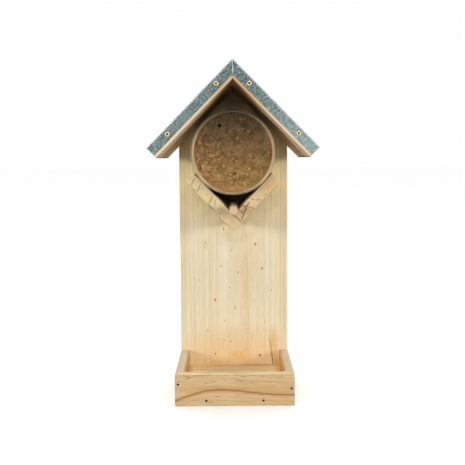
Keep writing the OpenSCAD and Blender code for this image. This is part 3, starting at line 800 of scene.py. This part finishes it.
def make_jar():
    """A wide-mouthed twist-off jar: pushed-up base, heel, straight side, neck bead, lugs and a rolled rim."""
    length = (jar_high.y - jar_low.y) / MM
    outline = [
        (0, 1.6), (22, 1.5), (31, 0.9), (34, 0.1), (36, 0.0), (38.4, 0.8), (40.2, 2.6), (JAR_SIDE, 5),
        (JAR_SIDE, 40), (JAR_SIDE, length - 20), (JAR_SIDE - 0.5, length - 17.6), (39.6, length - 15.5),
        (39.4, length - 13.5), (39.8, length - 12.2), (40.6, length - 11.4), (40.7, length - 10.4),
        (40.4, length - 9.6), (39.5, length - 9.0), (39.3, length - 8), (39.3, length - 4.2),
        (39.7, length - 3.6), (40.3, length - 3.2), (40.5, length - 2.4), (40.4, length - 1.3),
        (39.9, length - 0.5), (39.1, length - 0.1), (38.4, length), (37.7, length - 0.2),
        (37.3, length - 0.8), (37.2, length - 1.8), (37.2, length - 13), (37.6, length - 18),
        (38.3, length - 22), (38.3, 9), (37.3, 6.4), (35, 5.2), (30, 5.0), (0, 5.0),
    ]
    glass = jar_glass()
    bm = bmesh.new()
    spun(bm, outline)
    piece = finish_piece("glass_jar", bm, glass, "jar", smooth_under=60)
    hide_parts("jar_glass")

    lugs = bmesh.new()
    for quarter in range(4):
        section = [lugs.verts.new(((39.2 + out) * MM, jar_high.y - (length - 7.6 + ahead) * MM, JAR_AXIS_Z))
                   for out, ahead in ((0, -0.8), (0.7, -0.6), (1.1, 0), (0.7, 0.6), (0, 0.8))]
        face = lugs.faces.new(section)
        bmesh.ops.rotate(lugs, verts=section, cent=(0, 0, JAR_AXIS_Z),
                         matrix=Matrix.Rotation(quarter * math.tau / 4 + 0.3, 3, "Y"))
        bmesh.ops.spin(lugs, geom=[face], cent=(0, 0, JAR_AXIS_Z), axis=(0, 1, 0), angle=math.radians(48),
                       dvec=(0, -0.09 * MM, 0), steps=16, use_duplicate=False)
    bmesh.ops.remove_doubles(lugs, verts=lugs.verts, dist=0.001 * MM)
    bmesh.ops.recalc_face_normals(lugs, faces=lugs.faces)
    finish_piece("jar_lugs", lugs, glass, "jar", smooth_under=60)


def paste_height(right, up):
    """How far the paste stands forward of its level, in millimetres, at a point on its face."""
    where = Vector((right, up, 0))
    edge = min(1.0, (JAR_BORE - where.length) / 6)
    knife = math.sin(right * 0.42 + noise.noise(where * 0.05) * 4) * 0.12
    height = noise.fractal(where * 0.06, 1.0, 2.0, 3) * 1.1
    height += noise.fractal(where * 0.32, 0.9, 2.1, 4) * 0.55
    height += knife + 0.5 * (1 - edge) ** 2
    lumps = max(0.0, noise.noise(where * 0.5 + Vector((9, 4, 2)))) ** 1.5
    left_side = min(1.0, max(0.15, 0.55 - right / 40))
    height += lumps * 1.7 * left_side
    for hole_right, hole_up, radius, depth in AIR_HOLES:
        away = math.hypot(right - hole_right, up - hole_up)
        height -= depth / (1 + (away / radius) ** 6)
        height += 0.25 * math.exp(-((away - radius * 2) / radius) ** 2)
    return height


def make_paste():
    """The food fills the jar up to a rough, spooned face just behind the rim."""
    level = paste_low.y + 0.6 * MM
    bm = bmesh.new()
    bmesh.ops.create_grid(bm, x_segments=150, y_segments=150, size=1.0)
    for vert in bm.verts:
        across, up = vert.co.x, vert.co.y
        right = JAR_BORE * across * math.sqrt(1 - up * up / 2)
        high = JAR_BORE * up * math.sqrt(1 - across * across / 2)
        ahead = paste_height(right, high)
        vert.co = (right * MM, level - ahead * MM, JAR_AXIS_Z + high * MM)
    rim = [e for e in bm.edges if e.is_boundary]
    for radius, behind in ((JAR_BORE, 11), (37.7, 16), (38.32, 20), (38.32, 80), (37.3, 84.4), (35, 85.6)):
        grown = bmesh.ops.extrude_edge_only(bm, edges=rim)["geom"]
        rim = [e for e in grown if isinstance(e, bmesh.types.BMEdge)]
        for vert in {v for e in rim for v in e.verts}:
            angle = math.atan2(vert.co.z - JAR_AXIS_Z, vert.co.x)
            vert.co = (radius * MM * math.cos(angle), level + behind * MM,
                       JAR_AXIS_Z + radius * MM * math.sin(angle))
    bmesh.ops.contextual_create(bm, geom=rim)
    bmesh.ops.recalc_face_normals(bm, faces=bm.faces)
    piece = finish_piece("peanut_butter_fill", bm, peanut_paste(), "jar", smooth_under=80)
    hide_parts("peanut_butter")
    make_nuts(level)


def make_nuts(level):
    """Pieces of nut that stand out of the paste, most of them towards the left."""
    pick = random.Random(11)
    bm = bmesh.new()
    for _ in range(70):
        angle = pick.uniform(0, math.tau)
        out = (JAR_BORE - 3) * math.sqrt(pick.random())
        right, high = out * math.cos(angle), out * math.sin(angle)
        if right > -8 and pick.random() < 0.6:
            continue
        if any(math.hypot(right - hole[0], high - hole[1]) < 4 for hole in AIR_HOLES):
            continue
        size = pick.uniform(0.7, 1.7)
        shape = Matrix.Diagonal((size * pick.uniform(0.8, 1.5), size * 0.5, size * pick.uniform(0.5, 0.9), 1))
        turn = Matrix.Rotation(pick.uniform(0, math.tau), 4, "Y")
        ahead = paste_height(right, high) - size * 0.08
        centre = Matrix.Translation((right * MM, level - ahead * MM, JAR_AXIS_Z + high * MM))
        made = bmesh.ops.create_icosphere(bm, subdivisions=2, radius=MM, matrix=centre @ turn @ shape)
        for vert in made["verts"]:
            vert.co += noise.noise_vector(vert.co * 1400) * 0.22 * MM
    finish_piece("nut_pieces", bm, nut(), "jar", smooth_under=30)


def separate_parts(cad_node):
    """The lowest and highest corners of each loose part of a CAD node."""
    bm = mesh_of(cad_node)
    left = set(bm.verts)
    boxes = []
    while left:
        part = {left.pop()}
        edge_of_part = list(part)
        while edge_of_part:
            near = {e.other_vert(v) for v in edge_of_part for e in v.link_edges} & left
            left -= near
            part |= near
            edge_of_part = list(near)
        low = Vector([min(v.co[i] for v in part) for i in range(3)])
        high = Vector([max(v.co[i] for v in part) for i in range(3)])
        boxes.append((low, high))
    bm.free()
    return boxes


def make_cover_screws(brass):
    """Small round-head screws with a cross recess, each turned to where the driver stopped."""
    pick = random.Random(5)
    bm = bmesh.new()
    heads = separate_parts("roof_cover_screws")
    for low, high in heads:
        centre = (low + high) / 2
        head = (high.x - low.x) / 2
        tall = 1.25 * MM
        seat = low.y + 1.3 * MM
        length = high.y - seat
        outline = [(0, -0.1 * tall), (0.2 * head, -0.35 * tall), (0.36 * head, -0.9 * tall),
                   (0.56 * head, -tall), (0.62 * head, -0.96 * tall), (0.86 * head, -0.7 * tall),
                   (0.98 * head, -0.3 * tall), (head, 0),
                   (0.5 * head, 0.02 * MM), (0.46 * head, 0.7 * length), (0, length)]
        points = [bm.verts.new((centre.x + r, seat + y, centre.z)) for r, y in outline]
        edges = [bm.edges.new(pair) for pair in zip(points, points[1:])]
        bmesh.ops.spin(bm, geom=points + edges, cent=centre, axis=(0, 1, 0), angle=math.tau, steps=40,
                       use_merge=True)
        turn = pick.uniform(0, math.pi / 2)
        whole = {v for v in bm.verts if (v.co - centre).xz.length < 0.56 * head and v.co.y < seat - 0.3 * tall
                 and abs(v.co.z - centre.z) < head}
        for vert in whole:
            flat = vert.co.xz - centre.xz
            if flat.length < 0.1 * head or flat.length > 0.45 * head:
                continue
            angle = math.atan2(flat.y, flat.x) + turn
            reach = 1.65 - 1.1 * abs(math.sin(2 * angle)) ** 0.6
            vert.co.x = centre.x + flat.x * reach
            vert.co.z = centre.z + flat.y * reach
    bmesh.ops.remove_doubles(bm, verts=bm.verts, dist=0.002 * MM)
    bmesh.ops.recalc_face_normals(bm, faces=bm.faces)
    # Painted shade: the faces of each cross recess take a dark material.
    for face in bm.faces:
        middle = face.calc_center_median()
        low, high = min(heads, key=lambda box: ((box[0] + box[1]) / 2 - middle).length)
        centre = (low + high) / 2
        if (middle - centre).xz.length < 0.5 * (high.x - low.x) / 2 and middle.y < centre.y:
            face.material_index = 1
    piece = finish_piece("roof_cover_screw_set", bm, brass, "house", smooth_under=35)
    piece.data.materials.append(metal("painted shade screw recess", srgb(60, 44, 24), srgb(110, 86, 50), 0.6))
    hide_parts("roof_cover_screws")


def make_hardware():
    brass = metal("bright brass", srgb(190, 168, 116), srgb(228, 210, 164), 0.4)
    nail = metal("dull nail steel", srgb(34, 26, 20), srgb(66, 54, 44), 0.6)
    screw = metal("zinc plated steel", srgb(160, 164, 168), srgb(205, 208, 212), 0.3)
    plate = metal("zinc plated sheet", srgb(150, 154, 158), srgb(198, 202, 206), 0.38)
    make_cover_screws(brass)
    for nails in ("roof_board_nails", "ridge_nails", "cradle_corner_nails", "tray_front_nails",
                  "tray_back_nails"):
        hardware(nails, nail)
    hardware("cradle_screws", screw)
    hardware("hanger_screws", screw)
    hardware("hanger_plate", plate)


# ---------------------------------------------------------------- studio

def soft_light(name, place, target, width, height, power, colour):
    data = bpy.data.lights.new(name, "AREA")
    data.shape = "RECTANGLE"
    data.size, data.size_y = width, height
    data.energy = power
    data.color = colour
    light = bpy.data.objects.new(name, data)
    light.location = place
    light.rotation_euler = (Vector(target) - Vector(place)).to_track_quat("-Z", "Y").to_euler()
    bpy.context.scene.collection.objects.link(light)


def studio():
    """A pale floor, an even white surround, and soft light from the front, the sides, behind and above."""
    paper, tree, shader = new_material("pale studio paper")
    place = shaded_point(tree)
    tooth = cloud(tree, place, 40.0, detail=3.0)
    paper_white = ramp(tree, tooth, (0.3, (0.97, 0.97, 0.97, 1)), (0.7, (0.995, 0.995, 0.995, 1)))
    feed(tree, shader.inputs["Base Color"], paper_white)
    shader.inputs["Roughness"].default_value = 0.9
    bm = bmesh.new()
    bmesh.ops.create_grid(bm, x_segments=2, y_segments=2, size=60.0)
    mesh = bpy.data.meshes.new("studio_floor")
    bm.to_mesh(mesh)
    bm.free()
    mesh.materials.append(paper)
    floor = bpy.data.objects.new("studio_floor", mesh)
    bpy.context.scene.collection.objects.link(floor)
    floor.visible_diffuse = False

    world = bpy.data.worlds.new("studio air")
    world.use_nodes = True
    air = world.node_tree
    ray = node(air, "LightPath")
    seen = calc(air, "MULTIPLY", ray.outputs["Is Camera Ray"], 0.94)
    mirrored = calc(air, "MULTIPLY", ray.outputs["Is Glossy Ray"], 0.45)
    air.nodes["Background"].inputs[0].default_value = (1.0, 1.0, 1.0, 1)
    feed(air, air.nodes["Background"].inputs[1], calc(air, "ADD", calc(air, "ADD", seen, mirrored), 0.05))
    bpy.context.scene.world = world
    bpy.context.scene.view_settings.view_transform = "Standard"
    middle = (0, 0, 0.18)
    soft_light("front box", (0, -1.75, 0.6), middle, 0.5, 0.3, 12.6, (1.0, 1.0, 1.0))
    for side in (-1, 1):
        soft_light("side box", (side * 1.3, -0.95, 0.42), middle, 1.0, 0.4, 14.2, (1.0, 1.0, 1.0))
        soft_light("back box", (side * 0.8, 1.3, 0.9), middle, 0.8, 0.6, 5, (1.0, 1.0, 1.0))
    data = bpy.data.lights.new("ceiling", "SUN")
    data.energy = 3.05
    data.angle = math.radians(50)
    ceiling = bpy.data.objects.new("ceiling", data)
    ceiling.rotation_euler = (math.radians(-8), 0, 0)
    ceiling.location = (0, 0, 2)
    bpy.context.scene.collection.objects.link(ceiling)


def camera():
    """The viewer stands 84 cm in front of the board, level with the jar, and looks down very slightly."""
    data = bpy.data.cameras.new("viewer")
    data.sensor_width = 36
    data.lens = 61.06
    data.shift_y = -0.06
    data.clip_start, data.clip_end = 0.05, 20
    eye = bpy.data.objects.new("viewer", data)
    look = Matrix.Rotation(math.radians(0.058), 4, "Z") @ Matrix.Rotation(math.radians(90 - 3.331), 4, "X")
    lean = Matrix.Rotation(math.radians(-0.413), 4, "Z")
    place = Vector((-0.0002, BOARD_FRONT - 0.8414, 0.2369))
    eye.matrix_world = Matrix.Translation(place) @ look @ lean
    bpy.context.scene.collection.objects.link(eye)
    bpy.context.scene.camera = eye


camera()
studio()
make_wood()
make_roof_cover()
make_jar()
make_paste()
make_hardware()
